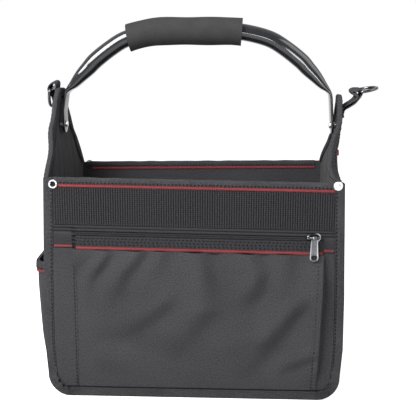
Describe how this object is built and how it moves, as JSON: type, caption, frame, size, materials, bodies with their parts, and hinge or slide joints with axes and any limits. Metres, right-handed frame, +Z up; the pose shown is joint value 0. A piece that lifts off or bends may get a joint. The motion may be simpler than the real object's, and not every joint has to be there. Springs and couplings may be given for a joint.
{
  "type": "tool bag",
  "caption": "open tool bag of padded grey cloth with red braid, zipped front pocket, end pocket, swinging tube handle with foam grip and hanging D-rings",
  "frame": {"origin": "middle of the base's flat underside, where the bag rests", "axes": "+X to the right end seen from the front, +Y to the back, +Z up"},
  "size_m": [0.3923, 0.2066, 0.4227],
  "materials": {
    "cloth": "matte",
    "tape": "matte",
    "webbing": "matte",
    "braid": "matte",
    "zip_metal": "satin",
    "steel": "polished",
    "black_paint": "gloss",
    "foam": "matte"
  },
  "bodies": {
    "body": {"front_panel": "cloth", "back_panel": "cloth", "side_panel_left": "cloth", "side_panel_right": "cloth", "base_panel": "cloth", "binding_front": "tape", "binding_back": "tape", "peak_binding_left": "tape", "peak_binding_right": "tape", "rim_band_front": "tape", "rim_band_back": "tape", "red_trim_front_outer": "braid", "red_trim_front_inner": "braid", "red_trim_back_outer": "braid", "red_trim_back_inner": "braid", "side_trim_left": "braid", "side_trim_right": "braid", "tool_webbing": "webbing", "zip_tape_upper": "webbing", "zip_coil": "webbing", "zip_tape_lower": "webbing", "zip_slider": "zip_metal", "red_trim_pocket": "braid", "pocket_front": "cloth", "side_pocket_left": "cloth", "side_pocket_band_left": "tape", "side_pocket_trim_left": "braid", "rivet_front_left": "steel", "rivet_front_right": "steel", "rivet_back_left": "steel", "rivet_back_right": "steel", "handle_rivet_left": "steel", "handle_rivet_right": "steel", "ring_strap_left": "webbing", "ring_strap_right": "webbing"},
    "handle": {"handle_tube": "black_paint", "grip": "foam"},
    "pull": {"zip_pull": "zip_metal"},
    "ring_left": {"d_ring_left": "steel"},
    "ring_right": {"d_ring_right": "steel"}
  },
  "joints": [
    {"name": "handle_swing", "type": "hinge", "parent": "body", "child": "handle", "pos_m": [0, 0, 0.3], "axis": [1, 0, 0], "range_deg": [-108, 108]},
    {"name": "pull_swing", "type": "hinge", "parent": "body", "child": "pull", "pos_m": [0.1292, -0.10502, 0.187], "axis": [-1, 0, 0], "range_deg": [0, 165]},
    {"name": "ring_left_swing", "type": "hinge", "parent": "body", "child": "ring_left", "pos_m": [-0.1715, 0, 0.342], "axis": [0, 0.9903, 0.1392], "range_deg": [-3, 110]},
    {"name": "ring_right_swing", "type": "hinge", "parent": "body", "child": "ring_right", "pos_m": [0.1874, 0, 0.3397], "axis": [0, 0.9962, 0.0872], "range_deg": [-60, 100]}
  ]
}
